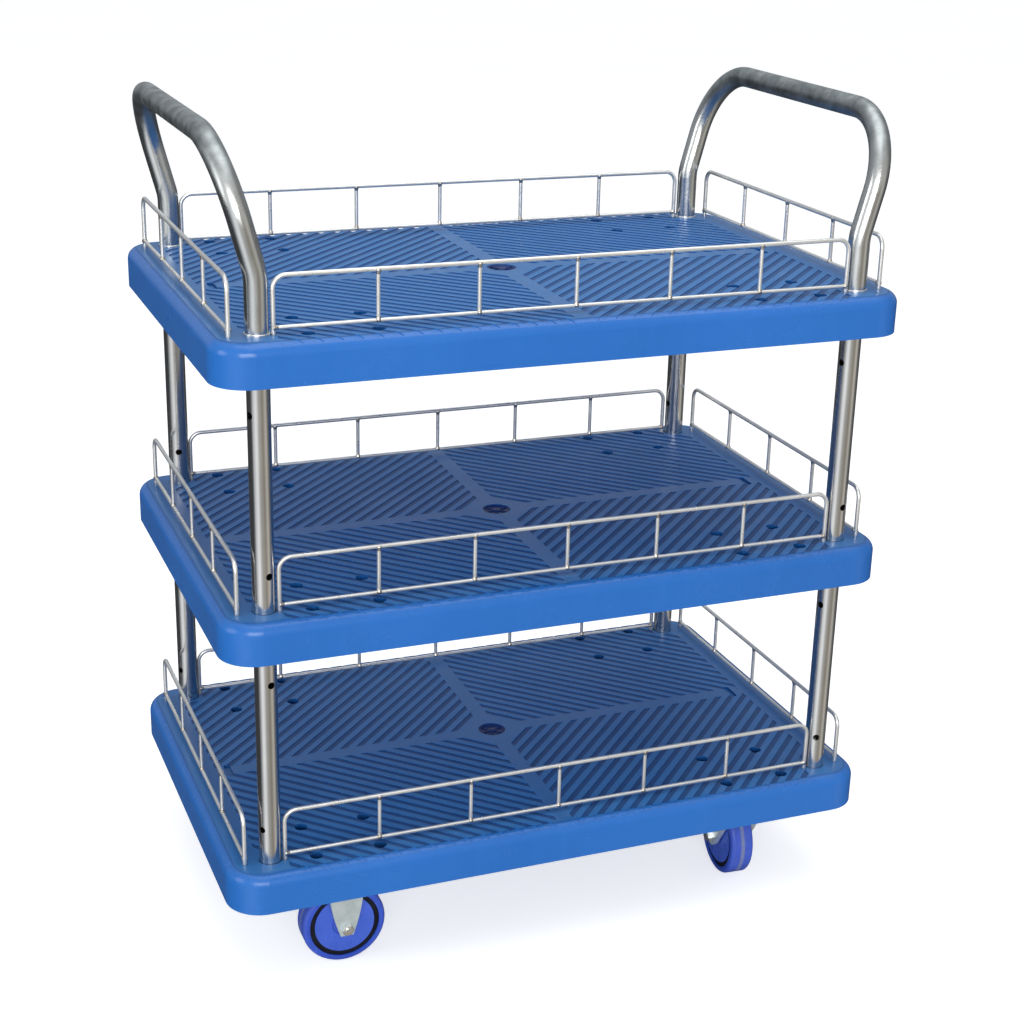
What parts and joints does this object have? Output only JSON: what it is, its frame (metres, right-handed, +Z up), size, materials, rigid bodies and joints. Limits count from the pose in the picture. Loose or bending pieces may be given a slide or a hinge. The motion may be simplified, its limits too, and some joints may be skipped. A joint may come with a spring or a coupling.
{
  "type": "three tier platform cart",
  "caption": "Hand cart with moulded decks on tube posts, wire guard rails, a hoop handle at each end, fixed castors at one end and swivel castors at the other.",
  "frame": {"origin": "on the floor, under the middle of the cart's bounding box", "axes": "+X along the decks towards the swivel castors, +Y across the cart to the back, +Z up"},
  "size_m": [0.804, 0.516, 0.9775],
  "materials": {
    "deck_plastic": "smooth moulded polypropylene with a soft gloss",
    "cap_plastic": "glossy moulded cap",
    "tube_steel": "polished stainless tube with fine length-wise polishing lines",
    "plated_steel": "bright nickel plate",
    "rail_wire": "drawn stainless wire, satin",
    "tread_rubber": "cast polyurethane tread",
    "ring_rubber": "black rubber ring",
    "hub_plastic": "moulded nylon hub",
    "castor_steel": "pressed steel, pale zinc plate",
    "fastener_steel": "bright zinc plate"
  },
  "bodies": {
    "root": {"castor_fork_back_left": "castor_steel", "castor_fork_front_left": "castor_steel", "castor_nuts": "fastener_steel", "castor_plate_back_right": "castor_steel", "castor_plate_front_right": "castor_steel", "castor_screws": "fastener_steel", "centre_caps": "cap_plastic", "deck_bottom": "deck_plastic", "deck_middle": "deck_plastic", "deck_top": "deck_plastic", "fixed_axle_bolts": "fastener_steel", "fixed_axle_nuts": "fastener_steel", "foot_bolts": "fastener_steel", "foot_washers": "fastener_steel", "handle_left": "tube_steel", "handle_right": "tube_steel", "handle_rings": "plated_steel", "kingpins": "fastener_steel", "post_lower_back_left": "tube_steel", "post_lower_back_right": "tube_steel", "post_lower_front_left": "tube_steel", "post_lower_front_right": "tube_steel", "post_upper_back_left": "tube_steel", "post_upper_back_right": "tube_steel", "post_upper_front_left": "tube_steel", "post_upper_front_right": "tube_steel", "rail_bottom_back": "rail_wire", "rail_bottom_front": "rail_wire", "rail_bottom_left": "rail_wire", "rail_bottom_right": "rail_wire", "rail_middle_back": "rail_wire", "rail_middle_front": "rail_wire", "rail_middle_left": "rail_wire", "rail_middle_right": "rail_wire", "rail_top_back": "rail_wire", "rail_top_front": "rail_wire", "rail_top_left": "rail_wire", "rail_top_right": "rail_wire", "swivel_balls": "fastener_steel", "tier_studs": "fastener_steel", "tube_plugs": "fastener_steel"},
    "swivel_front_right": {"castor_fork_front_right": "castor_steel", "axle_bolt_front_right": "fastener_steel", "axle_nut_front_right": "fastener_steel"},
    "swivel_back_right": {"castor_fork_back_right": "castor_steel", "axle_bolt_back_right": "fastener_steel", "axle_nut_back_right": "fastener_steel"},
    "wheel_front_left": {"wheel_tread_front_left": "tread_rubber", "wheel_ring_front_left": "ring_rubber", "wheel_hub_front_left": "hub_plastic"},
    "wheel_front_right": {"wheel_tread_front_right": "tread_rubber", "wheel_ring_front_right": "ring_rubber", "wheel_hub_front_right": "hub_plastic"},
    "wheel_back_left": {"wheel_tread_back_left": "tread_rubber", "wheel_ring_back_left": "ring_rubber", "wheel_hub_back_left": "hub_plastic"},
    "wheel_back_right": {"wheel_tread_back_right": "tread_rubber", "wheel_ring_back_right": "ring_rubber", "wheel_hub_back_right": "hub_plastic"}
  },
  "joints": [
    {"name": "swivel_front_right_turn", "type": "hinge", "parent": "root", "child": "swivel_front_right", "pos_m": [0.261, -0.195, 0.12], "axis": [0, 0, 1], "continuous": true},
    {"name": "swivel_back_right_turn", "type": "hinge", "parent": "root", "child": "swivel_back_right", "pos_m": [0.261, 0.195, 0.12], "axis": [0, 0, 1], "continuous": true},
    {"name": "wheel_front_left_spin", "type": "hinge", "parent": "root", "child": "wheel_front_left", "pos_m": [-0.261, -0.195, 0.05], "axis": [0, 1, 0], "continuous": true},
    {"name": "wheel_front_right_spin", "type": "hinge", "parent": "swivel_front_right", "child": "wheel_front_right", "pos_m": [0.26281, -0.16906, 0.05], "axis": [-0.9976, 0.0698, 0], "continuous": true},
    {"name": "wheel_back_left_spin", "type": "hinge", "parent": "root", "child": "wheel_back_left", "pos_m": [-0.261, 0.195, 0.05], "axis": [0, 1, 0], "continuous": true},
    {"name": "wheel_back_right_spin", "type": "hinge", "parent": "swivel_back_right", "child": "wheel_back_right", "pos_m": [0.26552, 0.16939, 0.05], "axis": [0.9848, 0.1736, 0], "continuous": true}
  ]
}
